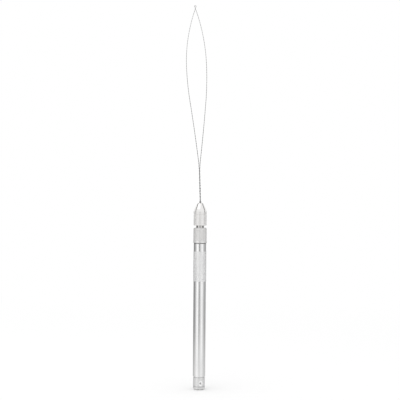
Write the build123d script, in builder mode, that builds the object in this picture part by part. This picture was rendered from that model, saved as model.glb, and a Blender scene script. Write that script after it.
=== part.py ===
from build123d import *

import os
from math import acos, cos, degrees, radians, sin

# Loop threader: a slim aluminium pen handle whose four-jaw chuck grips a springy wire loop.
# Lengths are in millimetres and angles in degrees. Heights run up the tool's axis from the
# tail's end face. The origin is the middle of the knurled grip, on the axis, where a hand
# holds the tool, +Z points to the loop's tip, and the loop lies in the XZ plane.

# Barrel: an 8 mm bar, drilled from the rear and tapped from the front
barrel_radius = 4.0
barrel_rear = 8.3
barrel_front = 92.8
barrel_chamfer = 0.25
grip_radius = 4.08
grip_rear = 68.4
grip_front = 87.6
grip_run_out = 0.6
bore_radius = 2.6
bore_end = 76.0
bore_cone = 0.7
tapped_radius = 2.05
tapped_chamfer = 0.3

# Tail plug: a turned button with a spigot pressed into the barrel's bore
plug_radius = 3.8
plug_head = 7.7
plug_round = 1.2
seam_groove_radius = 3.3
spigot_clearance = 0.01
spigot_end = 15.6
spigot_chamfer = 0.4
ring_height = 2.0
ring_depth = 0.15
hanging_hole_radius = 0.7
hanging_hole_height = 4.2
hanging_hole_turn = 17.0
hanging_hole_sink = 1.6
hanging_hole_sink_angle = 120.0

# Lock collar: turns on the barrel's front face and closes the jaws with its cone
face_gap = 0.03
collar_front = 102.5
collar_radius = 4.2
collar_rim_radius = 4.35
collar_rim_width = 1.0
collar_chamfer_width = 0.35
collar_chamfer_height = 0.8
collar_bore_radius = 2.2
collar_cone_rear = 96.7
collar_mouth_radius = 2.96

# Chuck: a threaded stem that splits into four springy jaws
thread_radius = 2.0
thread_pitch = 0.7
thread_groove = 0.42
stem_rear = 79.0
thread_end = 91.6
relief_radius = 1.6
shoulder_start = 93.0
chuck_root = 96.0
root_radius = 2.12
jaw_gap = 0.05
cone_clearance = 0.03
cone_front = 102.1
neck_radius = 2.5
head_rear = 103.9
head_radius = 4.15
head_chamfer = 0.3
head_front = 110.7
nose_groove_depth = 0.25
nose_rear = 112.8
nose_middle = 114.4
nose_middle_radius = 3.68
nose_front = 117.9
nose_front_radius = 1.95
nose_tip = 118.2
nose_tip_radius = 1.25
mouth_chamfer = 0.15
relief_bore_radius = 1.4
grip_bore_rear = 110.0
slot_width = 0.55
jaw_count = 4

# Wire: two twisted strands, gripped in a ferrule and opened into a loop
ferrule_radius = 0.6
ferrule_rear = 96.15
ferrule_front = 119.5
ferrule_chamfer = 0.12
ferrule_clearance = 0.02
wire_clearance = 0.01
shank_radius = 0.32
shank_rear = 99.5
shank_length = 20.6
shank_bend_radius = 20.0
wire_lean = 1.9
strand_radius = 0.15
strand_spread = 6.75
strand_straight = 43.0
lower_bend_radius = 190.0
upper_bend_radius = 108.0
fork_length = 4.0
fork_root = 0.8
strand_gap = 0.08
tip_leg = 1.3
eye_radius = 0.5
eye_offset = 0.1

# Frame: turned profiles are drawn as (radius, height), and the wire leans towards -X
origin_height = (grip_rear + grip_front) / 2
turning_plane = Plane(origin=(0, 0, -origin_height), x_dir=(1, 0, 0), z_dir=(0, -1, 0))
wire_x_dir = (cos(radians(wire_lean)), 0, sin(radians(wire_lean)))
wire_plane = Plane(
    origin=(0, 0, ferrule_front - origin_height), x_dir=wire_x_dir, z_dir=(0, -1, 0)
)
sides = {"left": -1, "right": 1}


def level(height):
    """The plane across the axis at a height above the tail's end face."""
    return Plane.XY.offset(height - origin_height)


def direction(angle):
    """The unit vector across the axis at an angle from +X."""
    return Vector(cos(radians(angle)), sin(radians(angle)), 0)


def across(path):
    """The plane at the start of a path, square to it."""
    return Plane(origin=path @ 0, z_dir=path % 0)


def finish(part, name):
    """Labels a finished piece and writes its STEP file."""
    part.label = name
    export_step(part, f"parts/{name}.step")


os.makedirs("parts", exist_ok=True)

# Barrel: the knurled grip stands proud and runs out in a slight taper at each end
with BuildPart() as barrel:
    with BuildSketch(turning_plane):
        with BuildLine():
            Polyline(
                (bore_radius, barrel_rear),
                (barrel_radius - barrel_chamfer, barrel_rear),
                (barrel_radius, barrel_rear + barrel_chamfer),
                (barrel_radius, grip_rear),
                (grip_radius, grip_rear + grip_run_out),
                (grip_radius, grip_front - grip_run_out),
                (barrel_radius, grip_front),
                (barrel_radius, barrel_front - barrel_chamfer),
                (barrel_radius - barrel_chamfer, barrel_front),
                (tapped_radius + tapped_chamfer, barrel_front),
                (tapped_radius, barrel_front - tapped_chamfer),
                (tapped_radius, bore_end + bore_cone),
                (bore_radius, bore_end),
                close=True,
            )
        make_face()
    revolve(axis=Axis.Z)
finish(barrel.part, "barrel")

# Tail plug, with its seam groove, end ring and hanging hole
spigot_radius = bore_radius - spigot_clearance
hole_axis = direction(hanging_hole_turn - 90)
with BuildPart() as tail_plug:
    with BuildSketch(turning_plane):
        with BuildLine():
            Polyline(
                (0, 0),
                (plug_radius, 0),
                (plug_radius, ring_height - ring_depth),
                (plug_radius - ring_depth, ring_height),
                (plug_radius, ring_height + ring_depth),
                (plug_radius, plug_head),
                (seam_groove_radius, plug_head),
                (seam_groove_radius, barrel_rear),
                (spigot_radius, barrel_rear),
                (spigot_radius, spigot_end - spigot_chamfer),
                (spigot_radius - spigot_chamfer, spigot_end),
                (0, spigot_end),
                close=True,
            )
        make_face()
    revolve(axis=Axis.Z)
    fillet(tail_plug.edges().filter_by(GeomType.CIRCLE).group_by(Axis.Z)[0], plug_round)
    for mouth in (hole_axis, -hole_axis):
        mouth_centre = mouth * plug_radius + Vector(0, 0, hanging_hole_height - origin_height)
        with Locations(Plane(origin=mouth_centre, z_dir=mouth)):
            CounterSinkHole(
                hanging_hole_radius,
                hanging_hole_sink,
                depth=plug_radius,
                counter_sink_angle=hanging_hole_sink_angle,
            )
finish(tail_plug.part, "tail_plug")

# Lock collar
collar_rear = barrel_front + face_gap
rim_front = collar_rear + collar_rim_width
with BuildPart() as lock_collar:
    with BuildSketch(turning_plane):
        with BuildLine():
            Polyline(
                (collar_bore_radius, collar_rear),
                (collar_radius, collar_rear),
                (collar_rim_radius, collar_rear + collar_rim_radius - collar_radius),
                (collar_rim_radius, rim_front),
                (collar_radius, rim_front + collar_rim_radius - collar_radius),
                (collar_radius, collar_front - collar_chamfer_height),
                (collar_radius - collar_chamfer_width, collar_front),
                (collar_mouth_radius, collar_front),
                (collar_bore_radius, collar_cone_rear),
                close=True,
            )
        make_face()
    revolve(axis=Axis.Z)
finish(lock_collar.part, "lock_collar")

# Chuck stem, with rings cut at the pitch of its thread
thread_turns = int((thread_end - stem_rear) / thread_pitch)
thread_middle = (stem_rear + thread_end) / 2
with BuildPart() as chuck_stem:
    with BuildSketch(turning_plane):
        with BuildLine():
            Polyline(
                (0, stem_rear),
                (relief_radius, stem_rear),
                (thread_radius, stem_rear + thread_radius - relief_radius),
                (thread_radius, thread_end),
                (relief_radius, thread_end + thread_radius - relief_radius),
                (relief_radius, shoulder_start),
                (root_radius, shoulder_start + root_radius - relief_radius),
                (root_radius, chuck_root),
                (0, chuck_root),
                close=True,
            )
        make_face()
    revolve(axis=Axis.Z)
    with BuildSketch(turning_plane):
        with Locations((thread_radius, thread_middle)):
            with GridLocations(0, thread_pitch, 1, thread_turns - 1):
                Rectangle(thread_groove, thread_groove, rotation=45)
    revolve(axis=Axis.Z, mode=Mode.SUBTRACT)
finish(chuck_stem.part, "chuck_stem")

# Chuck jaws: each is a quarter of the slotted head, closed on the ferrule
cone_rear_radius = collar_bore_radius - cone_clearance
cone_slope = (collar_mouth_radius - collar_bore_radius) / (collar_front - collar_cone_rear)
cone_front_radius = cone_rear_radius + cone_slope * (cone_front - collar_cone_rear)
grip_bore_radius = ferrule_radius + ferrule_clearance
for number in range(jaw_count):
    facing = number * 360 / jaw_count
    with BuildPart() as jaw:
        with BuildSketch(turning_plane):
            with BuildLine():
                Polyline(
                    (relief_bore_radius, chuck_root + jaw_gap),
                    (root_radius, chuck_root + jaw_gap),
                    (root_radius, collar_cone_rear),
                    (cone_rear_radius, collar_cone_rear),
                    (cone_front_radius, cone_front),
                    (neck_radius, cone_front + cone_front_radius - neck_radius),
                    (neck_radius, head_rear),
                    (head_radius - head_chamfer, head_rear),
                    (head_radius, head_rear + head_chamfer),
                    (head_radius, head_front),
                    (head_radius - nose_groove_depth, head_front + nose_groove_depth),
                    (head_radius, head_front + 2 * nose_groove_depth),
                    (head_radius, nose_rear),
                    (nose_middle_radius, nose_middle),
                    (nose_front_radius, nose_front),
                    (nose_tip_radius, nose_tip),
                    (grip_bore_radius + mouth_chamfer, nose_tip),
                    (grip_bore_radius, nose_tip - mouth_chamfer),
                    (grip_bore_radius, grip_bore_rear),
                    (relief_bore_radius, grip_bore_rear - relief_bore_radius + grip_bore_radius),
                    close=True,
                )
            make_face()
        revolve(axis=Axis.Z)
        for edge_turn in (-180 / jaw_count, 180 / jaw_count):
            inward = direction(facing + edge_turn)
            slot_side = Plane(origin=inward * slot_width / 2, z_dir=inward)
            split(bisect_by=slot_side, keep=Keep.TOP)
    finish(jaw.part, f"chuck_jaw_{number + 1}")

# Wire ferrule
with BuildPart() as wire_ferrule:
    with BuildSketch(level(ferrule_rear)):
        Circle(ferrule_radius)
        Circle(shank_radius + wire_clearance, mode=Mode.SUBTRACT)
    extrude(amount=ferrule_front - ferrule_rear)
    outer_face = wire_ferrule.faces().filter_by(GeomType.CYLINDER).sort_by(SortBy.AREA)[-1]
    chamfer(outer_face.edges().filter_by(GeomType.CIRCLE), ferrule_chamfer)
finish(wire_ferrule.part, "wire_ferrule")

# Loop outline on the wire plane, as (sideways, along): each strand leaves the fork in a
# straight line, bends round to its widest point and bends on to the crossing at the tip
spread = radians(strand_spread)
widest_half = strand_straight * sin(spread) + lower_bend_radius * (1 - cos(spread))
widest_along = shank_length + strand_straight * cos(spread) + lower_bend_radius * sin(spread)
upper_turn = degrees(acos(1 - widest_half / upper_bend_radius))
crossing_along = widest_along + upper_bend_radius * sin(radians(upper_turn))
tip_turn = degrees(tip_leg / upper_bend_radius)
lower_gap_turn = degrees(strand_gap / 2 / lower_bend_radius)
upper_gap_turn = degrees(strand_gap / 2 / upper_bend_radius)


def on_wire(sideways, along, forward=0):
    """The point at a place on the wire plane, or in front of it."""
    return wire_plane.from_local_coords((sideways, along, forward))


def heading(turn):
    """The unit vector on the wire plane that leans from the wire's axis to +X by a turn."""
    return wire_plane.x_dir * sin(radians(turn)) + wire_plane.y_dir * cos(radians(turn))


def on_upper_bend(side, turn, forward=0):
    """The point on a strand's upper bend where it has turned inwards by a turn."""
    sideways = widest_half - upper_bend_radius * (1 - cos(radians(turn)))
    along = widest_along + upper_bend_radius * sin(radians(turn))
    return on_wire(side * sideways, along, forward)


# Wire shank, with the fork where its two strands part
fork_base = on_wire(0, shank_length)
with BuildPart() as wire_shank:
    with BuildLine() as shank_path:
        FilletPolyline(
            (0, 0, shank_rear - origin_height),
            wire_plane.origin,
            fork_base,
            radius=shank_bend_radius,
        )
    with BuildSketch(across(shank_path.line)):
        Circle(shank_radius)
    sweep(path=shank_path.line)
    fillet(wire_shank.edges().sort_by(Axis.Z)[-1], strand_radius)
    for side in sides.values():
        lean = heading(side * strand_spread)
        with BuildLine() as fork:
            Line(fork_base - lean * fork_root, fork_base + lean * (fork_length - strand_gap / 2))
        with BuildSketch(across(fork.line)):
            Circle(strand_radius)
        sweep(path=fork.line)
finish(wire_shank.part, "wire_shank")

# Loop strands, in a lower and an upper length on each side
for side_name, side in sides.items():
    lean = heading(side * strand_spread)
    with BuildPart() as lower_strand:
        with BuildLine(wire_plane) as lower_path:
            bend_start = fork_base + lean * strand_straight
            Line(fork_base + lean * (fork_length + strand_gap / 2), bend_start)
            JernArc(bend_start, lean, lower_bend_radius, side * (strand_spread - lower_gap_turn))
        with BuildSketch(across(lower_path.line)):
            Circle(strand_radius)
        sweep(path=lower_path.line)
    finish(lower_strand.part, f"strand_{side_name}_lower")

    with BuildPart() as upper_strand:
        with BuildLine(wire_plane) as upper_path:
            JernArc(
                on_upper_bend(side, upper_gap_turn),
                heading(-side * upper_gap_turn),
                upper_bend_radius,
                side * (upper_turn - tip_turn - 2 * upper_gap_turn),
            )
        with BuildSketch(across(upper_path.line)):
            Circle(strand_radius)
        sweep(path=upper_path.line)
    finish(upper_strand.part, f"strand_{side_name}_upper")

# Loop tip: the strands cross, one in front of the other, and close in a small eye
eye_along = crossing_along + eye_radius / sin(radians(upper_turn))
leg_turn = upper_turn - tip_turn + upper_gap_turn
with BuildPart() as loop_tip:
    for side in sides.values():
        forward = side * eye_offset
        crossing = on_wire(0, crossing_along, forward)
        eye_start = on_wire(
            -side * eye_radius * cos(radians(upper_turn)),
            eye_along - eye_radius * sin(radians(upper_turn)),
            forward,
        )
        with BuildLine(wire_plane.offset(forward)) as half_eye:
            JernArc(
                on_upper_bend(side, leg_turn, forward),
                heading(-side * leg_turn),
                upper_bend_radius,
                side * (upper_turn - leg_turn),
            )
            Line(crossing, eye_start)
            JernArc(eye_start, heading(-side * upper_turn), eye_radius, -side * (90 + upper_turn))
        with BuildSketch(across(half_eye.line)):
            Circle(strand_radius)
        sweep(path=half_eye.line)
finish(loop_tip.part, "loop_tip")
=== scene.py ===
from math import asin, atan2, cos, hypot, pi, radians, sin, tan

import bpy
import numpy as np
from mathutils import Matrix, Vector


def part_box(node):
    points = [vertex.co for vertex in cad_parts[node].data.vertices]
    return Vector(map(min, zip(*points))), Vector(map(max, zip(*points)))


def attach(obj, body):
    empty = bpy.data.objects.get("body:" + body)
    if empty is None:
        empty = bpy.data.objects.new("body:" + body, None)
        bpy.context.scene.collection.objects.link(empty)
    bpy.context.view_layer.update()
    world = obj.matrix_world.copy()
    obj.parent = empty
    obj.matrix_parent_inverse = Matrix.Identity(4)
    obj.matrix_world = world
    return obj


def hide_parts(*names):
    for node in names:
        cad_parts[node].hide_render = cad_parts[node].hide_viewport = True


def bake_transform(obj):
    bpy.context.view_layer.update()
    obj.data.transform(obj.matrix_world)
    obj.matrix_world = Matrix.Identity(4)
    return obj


# Loop threader: a turned aluminium handle whose slotted chuck grips a springy loop of twisted
# wire. Shapes are worked out in millimetres, with heights above the tail's end face, and
# turned into metres of the row frame as each mesh is made.
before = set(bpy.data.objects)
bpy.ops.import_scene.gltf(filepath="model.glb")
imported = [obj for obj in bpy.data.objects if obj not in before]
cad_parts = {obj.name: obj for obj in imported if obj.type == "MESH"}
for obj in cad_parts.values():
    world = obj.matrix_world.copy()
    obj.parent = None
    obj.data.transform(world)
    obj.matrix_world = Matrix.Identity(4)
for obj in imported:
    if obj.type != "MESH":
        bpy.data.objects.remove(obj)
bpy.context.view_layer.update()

MM = 0.001
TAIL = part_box("tail_plug")[0].z
# How far under a surface's radius a point or a face's middle still counts as being on it
SKIN = 0.05


def extent(node):
    """A CAD node's lowest and highest heights above the tail and its reach along +X, in mm."""
    low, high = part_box(node)
    return (low.z - TAIL) / MM, (high.z - TAIL) / MM, high.x / MM


BARREL_REAR, BARREL_FRONT, GRIP_RADIUS = extent("barrel")
_, SPIGOT_END, PLUG_RADIUS = extent("tail_plug")
COLLAR_REAR, COLLAR_FRONT, RIM_RADIUS = extent("lock_collar")
JAW_REAR, NOSE_TIP, HEAD_RADIUS = extent("chuck_jaw_1")
FERRULE_REAR, FERRULE_FRONT, FERRULE_RADIUS = extent("wire_ferrule")
SHANK_REAR = extent("wire_shank")[0]

# Barrel and its diamond knurl
BARREL_RADIUS = 4.0
BORE_RADIUS = 2.6
BORE_END = 76.0
TAPPED_RADIUS = 2.05
GRIP_REAR = 68.4
GRIP_FRONT = 87.6
GRIP_RUN_OUT = 0.6
GRIP_FADE = 0.4
KNURL_STARTS = 36
KNURL_STEPS = 10
KNURL_LENGTH = 1.2
KNURL_DEPTH = 0.12
KNURL_FLAT = 0.32
# The barrel's bevelled front end, and how far down from it the metal has painted shade at the seam
BEVEL_LENGTH = 0.45
BEVEL_DEPTH = 0.35
BEVEL_SHADE = 0.4

# Tail plug, whose hole is turned 17 degrees off the front, which is at -90
PLUG_HEAD = 7.7
PLUG_ROUNDING = 1.25
SEAM_RADIUS = 3.3
SPIGOT_RADIUS = 2.59
RING_HEIGHT = 2.0
RING_DEPTH = 0.18
HOLE_RADIUS = 0.7
HOLE_HEIGHT = 4.2
HOLE_TURN = radians(17 - 90)
SINK_RADIUS = 1.6
SINK_SLOPE = tan(radians(60))

# Lock collar and its straight knurl
COLLAR_RADIUS = 4.2
COLLAR_BORE = 2.2
COLLAR_CONE_REAR = 96.7
COLLAR_MOUTH = 2.96
COLLAR_BEVEL = 0.35
RIM_WIDTH = 1.0
RIM_BEVEL = 0.15
RIM_END = COLLAR_REAR + RIM_WIDTH
FLUTES = 48
FLUTE_STEPS = 8
FLUTE_DEPTH = 0.08
FLUTE_FLAT = 0.35
FLUTE_REAR = RIM_END + 0.35
FLUTE_FRONT = COLLAR_FRONT - 0.9
FLUTE_FADE = 0.3
# The rows of points along the flutes: first and last height and their number
FLUTE_ROWS = (RIM_END + 0.3, COLLAR_FRONT - 0.85, 25)

# Chuck jaws
JAW_COUNT = 4
SLOT_WIDTH = 0.55
SLOT_EDGE = 0.12
OUTER_STEPS = 12
BORE_STEPS = 5
ROOT_RADIUS = 2.12
CONE_CLEARANCE = 0.03
CONE_FRONT = 102.1
NECK_RADIUS = 2.5
HEAD_REAR = 103.9
HEAD_FRONT = 110.7
NOSE_GROOVE = 0.25
NOSE_REAR = 112.8
NOSE_MIDDLE = (3.68, 114.4)
NOSE_FRONT = (1.95, 117.9)
NOSE_TIP_RADIUS = 1.25
RELIEF_BORE = 1.4
GRIP_BORE = 0.62
GRIP_BORE_REAR = 110.0
MOUTH_CHAMFER = 0.15

# Wire: a cable of two fine wires, folded into a loop whose ends are twisted together
LEAN = radians(1.9)
LEAN_START = -0.5
SHANK_LENGTH = 20.6
SPREAD = radians(6.75)
STRAIGHT = 43.0
LOWER_BEND = 190.0
UPPER_BEND = 108.0
EYE_RADIUS = 0.5
BOW = 0.28
FINE_RADIUS = 0.1
CABLE_LAY = 3.2
SHANK_LAY = 3.6
# The two strands' distance from the shank's middle: full along the shank, a little more about
# halfway where the twist is loose, and less in the ferrule, which squeezes them together
SHANK_TWIST = 0.21
LOOSE_TWIST = 0.03
LOOSE_PLACE = -11
LOOSE_LENGTH = 3
FERRULE_SQUEEZE = 0.09
PARTING_LENGTH = 2
POINT_SPACING = 0.15
# Where each strand is cut into stretches, and places along the stretches, in mm past the fork,
# but for the last cut, which is measured back from the crossing
MIDDLE_START = 30.0
END_START = 86.0
CUT_BEFORE_CROSSING = 1.3
FORK_BEND = (0.5, 24)
WIDEST_BEND = (48, 85)
TIP_BEND_START = 90

# Ferrule
FERRULE_BORE = 0.33
SWAGE_LENGTH = 0.35
SWAGE_DEPTH = 0.1


# ---------------------------------------------------------------- mesh helpers


def grid_faces(rows, columns, wrap_rows):
    """Quads of a grid of rows whose columns close on themselves, as the rows may do too."""
    faces = []
    for i in range(rows if wrap_rows else rows - 1):
        here, above = i * columns, (i + 1) % rows * columns
        for j in range(columns):
            k = (j + 1) % columns
            faces.append((here + j, here + k, above + k, above + j))
    return faces


def capped_faces(rows, columns):
    """Quads of a grid of rows that don't close, and a face over its first and its last row."""
    faces = grid_faces(rows, columns, False)
    faces.append(tuple(reversed(range(columns))))
    faces.append(tuple(range((rows - 1) * columns, rows * columns)))
    return faces


def make_piece(name, points, faces, materials, smooth_angle=35):
    """A mesh piece from points in the row frame, in metres, shaded smooth below an angle."""
    mesh = bpy.data.meshes.new(name)
    mesh.from_pydata(np.asarray(points, float).reshape(-1, 3).tolist(), [], faces)
    mesh.validate()
    piece = bpy.data.objects.new(name, mesh)
    bpy.context.scene.collection.objects.link(piece)
    for material in materials:
        mesh.materials.append(material)
    shade(piece, smooth_angle)
    return piece


def shade(piece, smooth_angle):
    """Smooth shading with sharp edges above an angle in degrees."""
    mesh = piece.data
    mesh.polygons.foreach_set("use_smooth", [True] * len(mesh.polygons))
    mesh.set_sharp_from_angle(angle=radians(smooth_angle))


def rounded(corners, steps=5):
    """An outline through (radius, height, rounding) corners, each rounded off by a curve that
    starts and ends that far from it."""
    outline = []
    for n, (radius, height, rounding) in enumerate(corners):
        corner = Vector((radius, height))
        if rounding == 0:
            outline.append(tuple(corner))
            continue
        before = Vector(corners[n - 1][:2])
        after = Vector(corners[(n + 1) % len(corners)][:2])
        start = corner + (before - corner).normalized() * rounding
        end = corner + (after - corner).normalized() * rounding
        for step in range(steps + 1):
            t = step / steps
            point = start * (1 - t) ** 2 + corner * 2 * t * (1 - t) + end * t**2
            outline.append(tuple(point))
    return outline


def turned_points(outline, segments, relief=None):
    """Rows of points round the Z axis for an outline of (radius, height), in metres.
    relief(turn, radii, heights) gives what to take off each radius."""
    outline = np.array(outline)
    turn = np.arange(segments) * 2 * pi / segments
    radii = np.repeat(outline[:, :1], segments, axis=1)
    heights = np.repeat(outline[:, 1:], segments, axis=1)
    if relief is not None:
        radii = radii - relief(turn[None, :], radii, heights)
    points = np.stack([radii * np.cos(turn), radii * np.sin(turn), heights], axis=-1) * MM
    points[..., 2] += TAIL
    return points


def turned_ring(name, outline, segments, materials, relief=None):
    """A turned piece with a hole: its outline is a closed loop that goes up the outside."""
    points = turned_points(outline, segments, relief)
    return make_piece(name, points, grid_faces(len(outline), segments, True), materials)


def turned_solid(name, outline, segments, materials):
    """A turned piece whose outline starts and ends on the axis."""
    points = turned_points(outline[1:-1], segments)
    return make_piece(name, points, capped_faces(len(points), segments), materials)


def smoothstep(t):
    """0 below 0, 1 above 1 and a smooth step between."""
    t = np.clip(t, 0, 1)
    return t * t * (3 - 2 * t)


# ---------------------------------------------------------------- materials


def add(tree, kind, inputs=None, **settings):
    """A new shader node with its settings, and its inputs linked or set by name or number."""
    node = tree.nodes.new(kind)
    for key, value in settings.items():
        setattr(node, key, value)
    for key, value in (inputs or {}).items():
        if isinstance(value, bpy.types.NodeSocket):
            tree.links.new(value, node.inputs[key])
        else:
            node.inputs[key].default_value = value
    return node


def scaled_place(tree, scale):
    """The surface point in the row frame, times a scale along each axis."""
    place = add(tree, "ShaderNodeTexCoord").outputs["Object"]
    return add(tree, "ShaderNodeVectorMath", {0: place, 1: scale}, operation="MULTIPLY").outputs[0]


def noise(tree, scale, detail=3.0):
    """Noise stretched by a scale along each axis, as a number around 0.5."""
    inputs = {"Vector": scaled_place(tree, scale), "Scale": 1.0, "Detail": detail}
    return add(tree, "ShaderNodeTexNoise", inputs).outputs["Fac"]


def remapped(tree, value, low, high, new_low, new_high):
    """A value moved from one range to another."""
    inputs = {0: value, 1: low, 2: high, 3: new_low, 4: new_high}
    return add(tree, "ShaderNodeMapRange", inputs).outputs[0]


def mixed(tree, factor, first, second):
    """A colour between two, by a factor."""
    node = add(tree, "ShaderNodeMix", data_type="RGBA")
    for socket, value in ((0, factor), (6, first), (7, second)):
        if isinstance(value, bpy.types.NodeSocket):
            tree.links.new(value, node.inputs[socket])
        else:
            node.inputs[socket].default_value = value
    return node.outputs[2]


def grey(value, warmth=0.0):
    """An opaque grey, warmer above 0 and cooler below."""
    return (value * (1 + warmth), value, value * (1 - warmth), 1)


SMUDGES = (180, 180, 70)
TURNED = (50, 50, 9000)
DRAWN = (9000, 9000, 300)
GRAIN = (2500, 2500, 2500)
CREST_SHADE = 0.85
HEIGHT_SHADE_SHARE = 0.4


def shaded(colour, share):
    """An opaque colour with a share of another's brightness."""
    return tuple(share * c for c in colour[:3]) + (1,)


def metal(name, bright, dull, roughness, marks, marks_depth, matt=0.0, crest=None, height_shade=None):
    """A bare metal: a smudged colour between bright and dull, tool marks from noise stretched by
    the scale marks, a matt share that scatters light, with crest=(low, high) radii in mm and a
    painted shade below the crests, and with height_shade=(dark, light) heights in mm and a painted
    shade that darkens towards the first."""
    material = bpy.data.materials.new(name)
    material.use_nodes = True
    tree = material.node_tree
    shader = tree.nodes["Principled BSDF"]
    shader.inputs["Metallic"].default_value = 1 - matt
    smudges = noise(tree, SMUDGES, detail=4.0)
    lines = noise(tree, marks)
    colour = mixed(tree, remapped(tree, smudges, 0.35, 0.7, 0, 1), bright, dull)
    # Painted shade in the grooves of a knurl: the colour darkens below the crests
    if crest:
        flat = scaled_place(tree, (1 / MM, 1 / MM, 0))
        radius = add(tree, "ShaderNodeVectorMath", {0: flat}, operation="LENGTH").outputs["Value"]
        shadow = shaded(dull, CREST_SHADE)
        colour = mixed(tree, remapped(tree, radius, crest[0], crest[1], 0, 1), shadow, colour)
    # Painted shade by height: the colour darkens towards the first of two heights
    if height_shade:
        level = add(tree, "ShaderNodeSeparateXYZ", {0: scaled_place(tree, (1, 1, 1))}).outputs["Z"]
        dark, light = (TAIL + height * MM for height in height_shade)
        height_shadow = shaded(dull, HEIGHT_SHADE_SHARE)
        colour = mixed(tree, remapped(tree, level, dark, light, 0, 1), height_shadow, colour)
    tree.links.new(colour, shader.inputs["Base Color"])
    spread = remapped(tree, smudges, 0.3, 0.75, roughness * 0.8, roughness * 1.3)
    scored = remapped(tree, lines, 0.3, 0.7, -0.03, 0.05)
    total = add(tree, "ShaderNodeMath", {0: spread, 1: scored}, operation="ADD", use_clamp=True)
    tree.links.new(total.outputs[0], shader.inputs["Roughness"])
    bump = add(tree, "ShaderNodeBump", {"Strength": 1.0, "Distance": marks_depth, "Height": lines})
    tree.links.new(bump.outputs["Normal"], shader.inputs["Normal"])
    return material


polished = metal("polished_aluminium", grey(0.86), grey(0.8), 0.18, TURNED, 6e-7)
plug_metal = metal("satin_aluminium", grey(0.73), grey(0.66), 0.26, TURNED, 8e-7, matt=0.4)
# A near-white matt metal for the hanging hole: a painted highlight on its countersinks
sink_highlight_metal = metal("painted_highlight_countersink", grey(1.0), grey(0.96), 0.2, GRAIN, 4e-7, matt=0.6)
# The grip's and the collar's knurls carry painted shade in their grooves
grip_metal = metal(
    "knurled_grip", grey(0.98), grey(0.94), 0.3, GRAIN, 2e-6,
    matt=0.1, crest=(GRIP_RADIUS - KNURL_DEPTH, GRIP_RADIUS),
)
collar_metal = metal(
    "knurled_collar", grey(0.77, 0.008), grey(0.7, 0.008), 0.36, GRAIN, 1.5e-6,
    matt=0.4, crest=(COLLAR_RADIUS - FLUTE_DEPTH, COLLAR_RADIUS),
)
rim_metal = metal("satin_rim", grey(0.74, 0.008), grey(0.68, 0.008), 0.36, TURNED, 6e-7, matt=0.4)
head_plating = metal(
    "satin_nickel", grey(0.77, 0.01), grey(0.71, 0.015), 0.32, TURNED, 4e-7, matt=0.65
)
nose_plating = metal("bright_nickel", grey(0.84, 0.01), grey(0.78, 0.02), 0.1, TURNED, 3e-7)
# The jaws up to the head, neck included, get nickel painted darker: painted shade of the groove
# between head and collar
neck_painted_shade = metal("painted_shade_nickel", grey(0.62, 0.01), grey(0.5, 0.02), 0.12, TURNED, 5e-7)
# Slot walls: a pale matt nickel as painted light in the head's slots, with painted shade darkening
# them up the nose
slot_light_and_shade = metal(
    "painted_light_and_shade_nickel", grey(0.95, 0.01), grey(0.9, 0.01), 0.4, GRAIN, 1e-6,
    matt=1.0, height_shade=(NOSE_MIDDLE[1], HEAD_FRONT),
)
# Painted shade for the seam between barrel and collar
seam_shade_metal = metal("painted_shade_seam", grey(0.3), grey(0.2), 0.5, GRAIN, 2e-6)
# Painted shade for the tail plug's ring groove
ring_shade_metal = metal("painted_shade_groove", grey(0.55), grey(0.42), 0.45, GRAIN, 2e-6)
# The loop's wire takes a painted shade that darkens it towards the fork
wire_steel = metal("drawn_steel_wire", grey(0.5), grey(0.4), 0.3, DRAWN, 1e-6, height_shade=(145, 225))
# A darker copy of the wire's steel: painted shade between the shank's twisted strands
shank_steel = metal("shaded_steel_wire", grey(0.18), grey(0.12), 0.3, DRAWN, 1e-6)
ferrule_steel = metal("ferrule_steel", grey(0.34), grey(0.26), 0.34, TURNED, 1e-6)


# ---------------------------------------------------------------- barrel


def wave(turns):
    """A triangle wave of the number of turns, 0 at whole numbers and 1 halfway between."""
    return 1 - np.abs(2 * (turns % 1) - 1)


def grip_relief(turn, radii, heights):
    """Crossed spiral grooves cut into the grip, which leave flat-topped diamonds."""
    around = KNURL_STARTS * turn / (2 * pi)
    along = (heights - GRIP_REAR) / KNURL_LENGTH
    crest = np.minimum(wave(around + along), wave(around - along))
    cut = KNURL_DEPTH * (1 - np.minimum(crest / KNURL_FLAT, 1))
    inside = smoothstep((heights - GRIP_REAR) / GRIP_FADE)
    inside = inside * smoothstep((GRIP_FRONT - heights) / GRIP_FADE)
    return np.where(radii > BARREL_RADIUS, cut * inside, 0)


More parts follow.
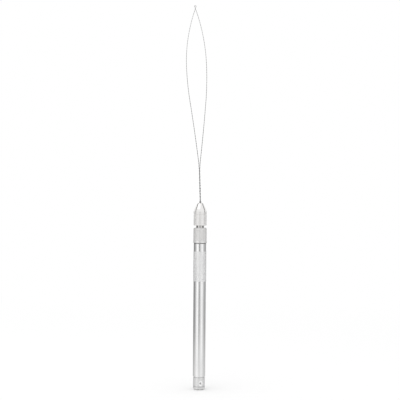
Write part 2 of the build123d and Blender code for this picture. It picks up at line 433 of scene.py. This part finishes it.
def make_barrel():
    """The handle's tube, with finely stepped rows along its knurled grip."""
    rows = round((GRIP_FRONT - GRIP_REAR) / KNURL_LENGTH * KNURL_STEPS)
    grip_heights = np.linspace(GRIP_REAR, GRIP_FRONT, rows + 1)[1:-1]
    from_end = np.minimum(grip_heights - GRIP_REAR, GRIP_FRONT - grip_heights)
    grip_radii = BARREL_RADIUS + (GRIP_RADIUS - BARREL_RADIUS) * np.minimum(from_end / GRIP_RUN_OUT, 1)
    corners = [
        (BORE_RADIUS, BARREL_REAR, 0),
        (BARREL_RADIUS, BARREL_REAR, 0.22),
        (BARREL_RADIUS, GRIP_REAR, 0),
        *[(radius, height, 0) for radius, height in zip(grip_radii, grip_heights)],
        (BARREL_RADIUS, GRIP_FRONT, 0),
        (BARREL_RADIUS, BARREL_FRONT - BEVEL_LENGTH, 0.1),
        (BARREL_RADIUS - BEVEL_DEPTH, BARREL_FRONT, 0.05),
        (TAPPED_RADIUS, BARREL_FRONT, 0.2),
        (TAPPED_RADIUS, BORE_END + BORE_RADIUS - TAPPED_RADIUS, 0),
        (BORE_RADIUS, BORE_END, 0),
    ]
    segments = KNURL_STARTS * KNURL_STEPS
    metals = [polished, grip_metal, seam_shade_metal]
    piece = turned_ring("barrel_tube", rounded(corners), segments, metals, grip_relief)
    for face in piece.data.polygons:
        height = (face.center.z - TAIL) / MM
        outside = hypot(face.center.x, face.center.y) / MM > BARREL_RADIUS - KNURL_DEPTH - SKIN
        face.material_index = int(outside and GRIP_REAR < height < GRIP_FRONT)
        # The bevel's faces under the collar get the seam's painted shade
        if height > BARREL_FRONT - BEVEL_SHADE:
            face.material_index = 2
    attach(piece, "handle")
    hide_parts("barrel")


# ---------------------------------------------------------------- tail plug


def make_tail_plug():
    """The turned end button, with its hanging hole drilled and countersunk from both sides."""
    outline = rounded([
        (0, 0, 0),
        (PLUG_RADIUS, 0, PLUG_ROUNDING),
        (PLUG_RADIUS, RING_HEIGHT - RING_DEPTH, 0.06),
        (PLUG_RADIUS - RING_DEPTH, RING_HEIGHT, 0.06),
        (PLUG_RADIUS, RING_HEIGHT + RING_DEPTH, 0.06),
        (PLUG_RADIUS, PLUG_HEAD, 0.2),
        (SEAM_RADIUS, PLUG_HEAD, 0.05),
        (SEAM_RADIUS, BARREL_REAR, 0),
        (SPIGOT_RADIUS, BARREL_REAR, 0),
        (SPIGOT_RADIUS, SPIGOT_END, 0.4),
        (0, SPIGOT_END, 0),
    ], steps=8)
    metals = [plug_metal, ring_shade_metal, sink_highlight_metal]
    piece = turned_solid("tail_button", outline, 256, metals)
    for face in piece.data.polygons:
        height = (face.center.z - TAIL) / MM
        # Faces in the ring groove get its painted shade
        face.material_index = int(abs(height - RING_HEIGHT) < 0.8 * RING_DEPTH)

    sink_depth = (SINK_RADIUS - HOLE_RADIUS) / SINK_SLOPE
    reach = PLUG_RADIUS + 1
    mouth = HOLE_RADIUS + (reach - PLUG_RADIUS + sink_depth) * SINK_SLOPE
    drill = [(mouth, -reach), (HOLE_RADIUS, sink_depth - PLUG_RADIUS)]
    drill += [(HOLE_RADIUS, PLUG_RADIUS - sink_depth), (mouth, reach)]
    segments = 64
    points = []
    centre = Vector((0, 0, TAIL + HOLE_HEIGHT * MM))
    axis = Vector((cos(HOLE_TURN), sin(HOLE_TURN), 0))
    sideways = Vector((-axis.y, axis.x, 0))
    for radius, along in drill:
        for n in range(segments):
            turn = n * 2 * pi / segments
            spoke = sideways * cos(turn) + Vector((0, 0, 1)) * sin(turn)
            points.append(centre + (axis * along + spoke * radius) * MM)
    faces = capped_faces(len(drill), segments)
    cutter = make_piece("drill", [tuple(p) for p in points], faces, metals)
    # The whole drilled hole, bore and countersinks, takes the painted highlight
    for face in cutter.data.polygons:
        face.material_index = 2
    cut = piece.modifiers.new("hanging_hole", "BOOLEAN")
    cut.operation = "DIFFERENCE"
    cut.solver = "EXACT"
    cut.object = cutter
    depsgraph = bpy.context.evaluated_depsgraph_get()
    drilled = bpy.data.meshes.new_from_object(piece.evaluated_get(depsgraph))
    piece.modifiers.clear()
    piece.data = drilled
    bpy.data.objects.remove(cutter)
    shade(piece, 20)
    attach(piece, "handle")
    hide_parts("tail_plug")


# ---------------------------------------------------------------- lock collar


def collar_relief(turn, radii, heights):
    """Straight grooves along the collar, from its rim to its front bevel."""
    crest = wave(FLUTES * turn / (2 * pi))
    cut = FLUTE_DEPTH * (1 - np.minimum(crest / FLUTE_FLAT, 1))
    inside = smoothstep((heights - FLUTE_REAR) / FLUTE_FADE)
    inside = inside * smoothstep((FLUTE_FRONT - heights) / FLUTE_FADE)
    return np.where(radii > COLLAR_RADIUS - SKIN, cut * inside, 0)


def make_collar():
    """The knurled nose ring, with a plain rim at its rear and a bevelled front."""
    knurl_heights = np.linspace(*FLUTE_ROWS)
    corners = [
        (COLLAR_BORE, COLLAR_REAR, 0),
        (COLLAR_RADIUS, COLLAR_REAR, 0.05),
        (RIM_RADIUS, COLLAR_REAR + RIM_BEVEL, 0.08),
        (RIM_RADIUS, RIM_END, 0.08),
        (COLLAR_RADIUS - 0.04, RIM_END + RIM_BEVEL, 0.05),
        *[(COLLAR_RADIUS, height, 0) for height in knurl_heights],
        (COLLAR_RADIUS - COLLAR_BEVEL, COLLAR_FRONT, 0.12),
        (COLLAR_MOUTH, COLLAR_FRONT, 0.06),
        (COLLAR_BORE, COLLAR_CONE_REAR, 0.1),
    ]
    segments = FLUTES * FLUTE_STEPS
    metals = [collar_metal, rim_metal]
    piece = turned_ring("collar_ring", rounded(corners), segments, metals, collar_relief)
    for face in piece.data.polygons:
        height = (face.center.z - TAIL) / MM
        face.material_index = int(height < RIM_END + 0.2)
    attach(piece, "collar")
    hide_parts("lock_collar")


# ---------------------------------------------------------------- chuck jaws


def jaw_section(outer, inner, facing, height):
    """A jaw's outline at a height: an outer and an inner arc between two slot sides, with the
    outer corners rounded off."""
    half_gap = SLOT_WIDTH / 2
    rounding = min(SLOT_EDGE, 0.3 * (outer - inner))

    def slot_side(radius):
        return pi / JAW_COUNT - asin(half_gap / radius)

    reach = slot_side(outer) - rounding / outer
    half = [(outer, reach * n / OUTER_STEPS) for n in range(OUTER_STEPS + 1)]
    corner = [Vector((outer * cos(a), outer * sin(a))) for a in (reach, slot_side(outer))]
    side = slot_side(outer - rounding)
    corner.append(Vector(((outer - rounding) * cos(side), (outer - rounding) * sin(side))))
    for t in (0.25, 0.5, 0.75, 1.0):
        point = corner[0] * (1 - t) ** 2 + corner[1] * 2 * t * (1 - t) + corner[2] * t**2
        half.append((point.length, atan2(point.y, point.x)))
    half += [(inner, slot_side(inner) * (1 - n / BORE_STEPS)) for n in range(BORE_STEPS + 1)]
    loop = half + [(radius, -turn) for radius, turn in reversed(half[1:-1])]
    return [
        (radius * cos(facing + turn) * MM, radius * sin(facing + turn) * MM, TAIL + height * MM)
        for radius, turn in loop
    ]


def make_jaws():
    """The four jaws: quarters of one turned and slotted head."""
    cone_rear = COLLAR_BORE - CONE_CLEARANCE
    slope = (COLLAR_MOUTH - COLLAR_BORE) / (COLLAR_FRONT - COLLAR_CONE_REAR)
    cone_front = cone_rear + slope * (CONE_FRONT - COLLAR_CONE_REAR)
    outline = rounded([
        (ROOT_RADIUS, JAW_REAR, 0),
        (ROOT_RADIUS, COLLAR_CONE_REAR, 0),
        (cone_rear, COLLAR_CONE_REAR, 0),
        (cone_front, CONE_FRONT, 0.05),
        (NECK_RADIUS, CONE_FRONT + cone_front - NECK_RADIUS, 0.1),
        (NECK_RADIUS, HEAD_REAR, 0.2),
        (HEAD_RADIUS, HEAD_REAR, 0.35),
        (HEAD_RADIUS, HEAD_FRONT, 0.05),
        (HEAD_RADIUS - NOSE_GROOVE, HEAD_FRONT + NOSE_GROOVE, 0.05),
        (HEAD_RADIUS, HEAD_FRONT + 2 * NOSE_GROOVE, 0.05),
        (HEAD_RADIUS, NOSE_REAR, 0.08),
        (*NOSE_MIDDLE, 0.1),
        (*NOSE_FRONT, 0.25),
        (NOSE_TIP_RADIUS, NOSE_TIP, 0.12),
        (GRIP_BORE + MOUTH_CHAMFER, NOSE_TIP, 0),
    ])[:-1]
    bore = [
        (JAW_REAR, RELIEF_BORE),
        (GRIP_BORE_REAR - RELIEF_BORE + GRIP_BORE, RELIEF_BORE),
        (GRIP_BORE_REAR, GRIP_BORE),
        (NOSE_TIP - MOUTH_CHAMFER, GRIP_BORE),
        (NOSE_TIP, GRIP_BORE + MOUTH_CHAMFER),
    ]
    radii, heights = zip(*outline)
    levels = list(zip(heights, radii))
    for height, _ in bore[1:-1]:
        levels.append((height, float(np.interp(height, heights, radii))))
    levels.sort(key=lambda level: level[0])
    for number in range(JAW_COUNT):
        facing = number * 2 * pi / JAW_COUNT
        rows = []
        for height, outer in levels:
            inner = float(np.interp(height, *zip(*bore)))
            rows.append(jaw_section(outer, inner, facing, height))
        metals = [neck_painted_shade, head_plating, nose_plating, slot_light_and_shade]
        faces = capped_faces(len(rows), len(rows[0]))
        piece = make_piece(f"jaw_{number + 1}_quarter", rows, faces, metals)
        for face in piece.data.polygons:
            height = (face.center.z - TAIL) / MM
            face.material_index = int(height > HEAD_REAR) + int(height > NOSE_REAR)
            # A slot's wall faces neither outwards nor along the tool
            radial = Vector((face.center.x, face.center.y, 0)).normalized()
            slot_wall = max(abs(face.normal.dot(radial)), abs(face.normal.z)) < 0.5
            # Slot walls above the neck get the painted light that turns to painted shade up the nose
            if slot_wall and height > HEAD_REAR:
                face.material_index = 3
        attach(piece, f"jaw_{number + 1}")
        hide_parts(f"chuck_jaw_{number + 1}")


def dress_stem():
    """The chuck's threaded stem keeps its CAD mesh, which the barrel and collar hide."""
    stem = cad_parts["chuck_stem"]
    stem.data.materials.clear()
    # The stem takes the jaws' lower nickel with its painted shade
    stem.data.materials.append(neck_painted_shade)


# ---------------------------------------------------------------- wire


def make_ferrule():
    """The small steel tube that holds the wire's two ends, swaged a little at its mouth."""
    corners = [
        (FERRULE_BORE, FERRULE_REAR, 0),
        (FERRULE_RADIUS, FERRULE_REAR, 0.12),
        (FERRULE_RADIUS, FERRULE_FRONT - SWAGE_LENGTH, 0.1),
        (FERRULE_RADIUS - SWAGE_DEPTH, FERRULE_FRONT, 0.08),
        (FERRULE_BORE, FERRULE_FRONT, 0.05),
    ]
    piece = turned_ring("ferrule_tube", rounded(corners), 64, [ferrule_steel])
    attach(piece, "wire")
    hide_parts("wire_ferrule")


CABLE_RADIUS = 2 * FINE_RADIUS
WIDEST = STRAIGHT + LOWER_BEND * SPREAD
WIDEST_HALF = STRAIGHT * sin(SPREAD) + LOWER_BEND * (1 - cos(SPREAD))
UPPER_TURN = pi / 2 - asin(1 - WIDEST_HALF / UPPER_BEND)
CROSSING = WIDEST + UPPER_BEND * UPPER_TURN
EYE_START = CROSSING + EYE_RADIUS / tan(UPPER_TURN)
EYE_TOP = EYE_START + EYE_RADIUS * (pi / 2 + UPPER_TURN)


def turn_at(s):
    """A strand's turn outwards from the wire's axis, s mm past the fork."""
    if s < STRAIGHT:
        return SPREAD
    if s < WIDEST:
        return SPREAD - (s - STRAIGHT) / LOWER_BEND
    if s < CROSSING:
        return -(s - WIDEST) / UPPER_BEND
    if s < EYE_START:
        return -UPPER_TURN
    return -UPPER_TURN + (s - EYE_START) / EYE_RADIUS


def half_loop(distances):
    """Half of the loop, from the fork to the top of the eye: each place as (sideways, along)
    and the turn there, for a strand that leaves the fork towards +sideways."""
    step = 0.02
    count = int(round(distances[-1] / step)) + 2
    s = (np.arange(count) + 0.5) * step
    turns = np.array([turn_at(value) for value in s])
    sideways = np.concatenate([[0], np.cumsum(np.sin(turns) * step)])
    along = np.concatenate([[0], np.cumsum(np.cos(turns) * step)])
    nodes = np.arange(count + 1) * step
    turn = np.array([turn_at(value) for value in distances])
    return np.interp(distances, nodes, sideways), np.interp(distances, nodes, along), turn


def strand_centre(side, start, end):
    """A strand's centre line from start to end, in mm past the fork along the strand, which are
    below 0 in the shank: columns of sideways, along and forward, and of the turn there. The
    distances come second."""
    count = max(2, int(round(abs(end - start) / POINT_SPACING)) + 1)
    s = np.linspace(start, end, count)
    beyond = np.maximum(s, 0)
    order = np.argsort(beyond)
    sideways, along, turn = (np.empty(count) for _ in range(3))
    sideways[order], along[order], turn[order] = half_loop(beyond[order])
    # In the shank the strand winds round the wire's axis. Past the fork it keeps its place and
    # slope at first, and both fade away
    loose = LOOSE_TWIST * np.exp(-(((s - LOOSE_PLACE) / LOOSE_LENGTH) ** 2))
    twist = SHANK_TWIST - FERRULE_SQUEEZE * (1 - smoothstep(s + SHANK_LENGTH)) + loose
    wrap = 2 * pi * s / SHANK_LAY
    shank = s < 0
    parting = SHANK_TWIST * np.exp(-((beyond / PARTING_LENGTH) ** 2))
    sideways = np.where(shank, twist * np.cos(wrap), sideways + parting)
    along = np.where(shank, s, along) + SHANK_LENGTH
    turn = np.where(shank, 0, turn)
    # Both strands sway the same way, so that the loop's sides aren't mirror images
    sway = side * BOW * np.sin(2 * pi * np.clip(s / CROSSING, 0, 1))
    # Where the strands cross, each passes on its own side of the loop's plane
    past = np.cos(np.clip((s - CROSSING) / (EYE_TOP - CROSSING), -1, 1) * pi / 2) ** 2
    unwinding = 2 * pi * SHANK_TWIST / SHANK_LAY * beyond * np.exp(-(beyond**2))
    forward = np.where(shank, twist * np.sin(wrap), unwinding)
    forward = forward - CABLE_RADIUS * past
    place = [side * (sideways + sway), along, side * forward, side * turn]
    return np.stack(place, axis=1), s


def on_wire(place):
    """Rows of (sideways, along, forward) from the ferrule's mouth, as row-frame metres. The wire
    leans over towards -X above the mouth, and stands upright in the ferrule."""
    sideways, along, forward = place.T
    lean = LEAN * smoothstep(along - LEAN_START)
    x = sideways * np.cos(lean) - along * np.sin(lean)
    height = FERRULE_FRONT + along * np.cos(lean) + sideways * np.sin(lean)
    return np.stack([x * MM, -forward * MM, TAIL + height * MM], axis=1)


def tube(points, radius, sides=10):
    """A round wire's mesh along points, as vertices and faces."""
    tangents = np.gradient(points, axis=0)
    tangents /= np.linalg.norm(tangents, axis=1)[:, None]
    normal = np.cross(tangents[0], [0.0, 1.0, 0.0])
    turn = np.arange(sides) * 2 * pi / sides
    rows = []
    for point, tangent in zip(points, tangents):
        normal = normal - tangent * (normal @ tangent)
        normal /= np.linalg.norm(normal)
        other = np.cross(tangent, normal)
        rows.append(point + radius * (np.outer(np.cos(turn), normal) + np.outer(np.sin(turn), other)))
    return np.concatenate(rows), capped_faces(len(points), sides)


def cable_piece(name, stretches, material=wire_steel):
    """One piece of the cable, two fine wires twisted together, over stretches of (side, start,
    end). The twist runs on from the left strand over the eye and down the right strand."""
    vertices, faces = [], []
    for side, start, end in stretches:
        centre, s = strand_centre(side, start, end)
        run = s if side < 0 else 2 * EYE_TOP - s
        lay = 2 * pi * run / CABLE_LAY
        turn = centre[:, 3]
        for half_turn in (0, pi):
            across = FINE_RADIUS * np.cos(lay + half_turn)
            out = FINE_RADIUS * np.sin(lay + half_turn)
            offset = np.stack([across * np.cos(turn), -across * np.sin(turn), out], axis=1)
            wire, wire_faces = tube(on_wire(centre[:, :3] + offset), FINE_RADIUS * MM)
            first = sum(len(v) for v in vertices)
            vertices.append(wire)
            faces += [tuple(first + i for i in face) for face in wire_faces]
    piece = make_piece(name, np.concatenate(vertices), faces, [material], smooth_angle=60)
    return piece


def strand_point(side, s):
    """A point of a strand's centre line in the row frame."""
    centre, _ = strand_centre(side, s, s + 0.1)
    return tuple(on_wire(centre[:, :3])[0])


def make_wire():
    """The shank, and the loop in stretches."""
    inside = SHANK_REAR - FERRULE_FRONT - SHANK_LENGTH
    shank = cable_piece("shank_twist", [(-1, inside, 0), (1, inside, 0)], shank_steel)
    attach(shank, "wire")
    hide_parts("wire_shank")
    for side, name in ((-1, "left"), (1, "right")):
        piece = cable_piece(f"{name}_strand_lower", [(side, 0, MIDDLE_START)])
        start, end = (strand_point(side, s) for s in FORK_BEND)
        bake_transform(piece)
        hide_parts(f"strand_{name}_lower")
        piece = cable_piece(f"{name}_strand_middle", [(side, MIDDLE_START, END_START)])
        start, end = (strand_point(side, s) for s in WIDEST_BEND)
        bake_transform(piece)
        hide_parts(f"strand_{name}_upper")
    # The left strand runs on over the eye and down to the cut, where the right one's end meets it
    cut = CROSSING - CUT_BEFORE_CROSSING
    tip = cable_piece("left_strand_eye", [(-1, END_START, EYE_TOP), (1, EYE_TOP, cut)])
    strand_point(-1, TIP_BEND_START)
    strand_point(-1, cut)
    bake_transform(tip)
    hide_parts("loop_tip")
    right_end = cable_piece("right_strand_end", [(1, END_START, cut)])
    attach(right_end, "right_upper")


# ---------------------------------------------------------------- studio

# Lengths in metres, but for the tent's base, the floor's drop, and the camera's sensor, height
# and offset, which are in mm
FLOOR_RADIUS = 6.0
FLOOR_FADE = (0.1, 0.6)
TENT_RADIUS = 0.055
TENT_HEIGHT = 0.12
TENT_HOLE = 0.006
TENT_BASE = 0.2
FLOOR_DROP = 0.05
VIEW_HEIGHT = 120.1
VIEW_ASIDE = -0.2
VIEW_DISTANCE = 0.635
VIEW_WIDTH = 0.254
VIEW_ROLL = radians(-0.44)
SENSOR = 36.0
LAMP_SIZE = 0.6
LAMP_POWER = 0.6
LAMP_PLACE = (-0.25, -0.3, 0.75)
# How bright the tent's wall is at each turn from the camera's side to the right, in degrees:
# two soft boxes in front with a gap for the camera, dark wings and a soft box behind. Near the
# floor the light is more even.
TENT_LIGHT = {
    -180: 1.05, -160: 1.0, -145: 0.45, -125: 0.25, -105: 0.28, -80: 0.5, -66: 0.75, -56: 1.0,
    -47: 1.15, -36: 1.15, -27: 1.1, -20: 0.9, -15: 0.55, -12: 0.2, -4: 0.2, 0: 0.7, 9: 0.7,
    18: 0.78, 28: 1.0, 38: 1.1, 48: 1.08, 57: 0.9, 67: 0.7, 80: 0.55, 95: 0.45, 125: 0.42,
    145: 0.45, 160: 1.0,
}
LOW_LIGHT = {
    -180: 1.0, -150: 0.8, -125: 0.56, -105: 0.58, -80: 0.76, -56: 0.98, -36: 1.06, -20: 0.97,
    -8: 0.82, 5: 0.82, 18: 0.9, 38: 1.0, 57: 0.92, 80: 0.76, 105: 0.64, 150: 0.8,
}
LOW_LIGHT_TOP = 0.032


def emitting(name):
    """A material with only an emission shader, and that shader."""
    material = bpy.data.materials.new(name)
    material.use_nodes = True
    tree = material.node_tree
    tree.nodes.remove(tree.nodes["Principled BSDF"])
    emission = add(tree, "ShaderNodeEmission")
    tree.links.new(emission.outputs[0], tree.nodes["Material Output"].inputs["Surface"])
    return material, emission


def wall_light(tree, turn, light):
    """A colour ramp of the light round the tent's wall."""
    ramp = add(tree, "ShaderNodeValToRGB", {"Fac": turn})
    stops = sorted(((0.25 + degrees / 360) % 1, value) for degrees, value in light.items())
    stops = [(0.0, stops[0][1])] + stops + [(1.0, stops[0][1])]
    elements = ramp.color_ramp.elements
    while len(elements) < len(stops):
        elements.new(0.5)
    for element, (position, value) in zip(elements, stops):
        element.position = position
        element.color = grey(value)
    return ramp.outputs["Color"]


def make_tent():
    """The light tent round the tool, a wall and a base: seen in its reflections only."""
    material, emission = emitting("tent_wall")
    tree = material.node_tree
    place = add(tree, "ShaderNodeTexCoord").outputs["Object"]
    turn = add(tree, "ShaderNodeTexGradient", {"Vector": place}, gradient_type="RADIAL").outputs["Fac"]
    level = add(tree, "ShaderNodeSeparateXYZ", {0: place}).outputs["Z"]
    high = remapped(tree, level, TAIL, TAIL + LOW_LIGHT_TOP, 0, 1)
    low_light, high_light = (wall_light(tree, turn, light) for light in (LOW_LIGHT, TENT_LIGHT))
    tree.links.new(mixed(tree, high, low_light, high_light), emission.inputs["Color"])
    segments = 180
    turns = np.arange(segments) * 2 * pi / segments
    ring = np.stack([np.cos(turns) * TENT_RADIUS, np.sin(turns) * TENT_RADIUS], axis=1)
    base = TAIL + TENT_BASE * MM
    rows = [
        np.column_stack([ring * TENT_HOLE / TENT_RADIUS, np.full(segments, base)]),
        np.column_stack([ring, np.full(segments, base)]),
        np.column_stack([ring, np.full(segments, TAIL + TENT_HEIGHT)]),
    ]
    tent = make_piece("light_tent", rows, grid_faces(3, segments, False), [material])
    tent.visible_camera = False
    tent.visible_diffuse = False
    tent.visible_shadow = False


def make_floor():
    """A pale round floor under the tail, which fades into the white backdrop."""
    material, emission = emitting("pale_floor")
    tree = material.node_tree
    matt = add(tree, "ShaderNodeBsdfDiffuse", {"Color": grey(0.96)})
    flat = scaled_place(tree, (1, 1, 0))
    away = add(tree, "ShaderNodeVectorMath", {0: flat}, operation="LENGTH").outputs["Value"]
    reach = {0: away, 1: FLOOR_FADE[0], 2: FLOOR_FADE[1]}
    fade = add(tree, "ShaderNodeMapRange", reach, interpolation_type="SMOOTHSTEP")
    mix = {0: fade.outputs[0], 1: matt.outputs[0], 2: emission.outputs[0]}
    both = add(tree, "ShaderNodeMixShader", mix)
    emission.inputs["Color"].default_value = grey(1.0)
    tree.links.new(both.outputs[0], tree.nodes["Material Output"].inputs["Surface"])
    segments = 96
    turns = np.arange(segments) * 2 * pi / segments
    level = TAIL - FLOOR_DROP * MM
    rim = [(cos(t) * FLOOR_RADIUS, sin(t) * FLOOR_RADIUS, level) for t in turns]
    floor = make_piece("floor", rim, [tuple(range(segments))], [material])


def make_light():
    """A white backdrop all round, and one large soft lamp above."""
    world = bpy.data.worlds.new("white_backdrop")
    world.use_nodes = True
    world.node_tree.nodes["Background"].inputs["Color"].default_value = grey(1.0)
    bpy.context.scene.world = world
    lamp = bpy.data.lights.new("overhead_softbox", "AREA")
    lamp.size = LAMP_SIZE
    lamp.energy = LAMP_POWER
    place = bpy.data.objects.new("overhead_softbox", lamp)
    place.location = LAMP_PLACE
    place.rotation_euler = (-place.location).to_track_quat("-Z", "Y").to_euler()
    bpy.context.scene.collection.objects.link(place)


def make_camera():
    """About level with the ferrule's mouth and square on to the loop, with the tool leaning a
    little in the picture."""
    data = bpy.data.cameras.new("camera")
    data.sensor_width = SENSOR
    data.lens = SENSOR * VIEW_DISTANCE / VIEW_WIDTH
    data.clip_start = 0.01
    data.clip_end = 50
    camera = bpy.data.objects.new("camera", data)
    camera.location = (VIEW_ASIDE * MM, -VIEW_DISTANCE, TAIL + VIEW_HEIGHT * MM)
    camera.rotation_euler = (pi / 2, VIEW_ROLL, 0)
    bpy.context.scene.collection.objects.link(camera)
    bpy.context.scene.camera = camera


bpy.context.scene.view_settings.view_transform = "Standard"
make_light()
make_floor()
make_tent()
make_camera()
make_barrel()
make_tail_plug()
make_collar()
make_jaws()
dress_stem()
make_ferrule()
make_wire()
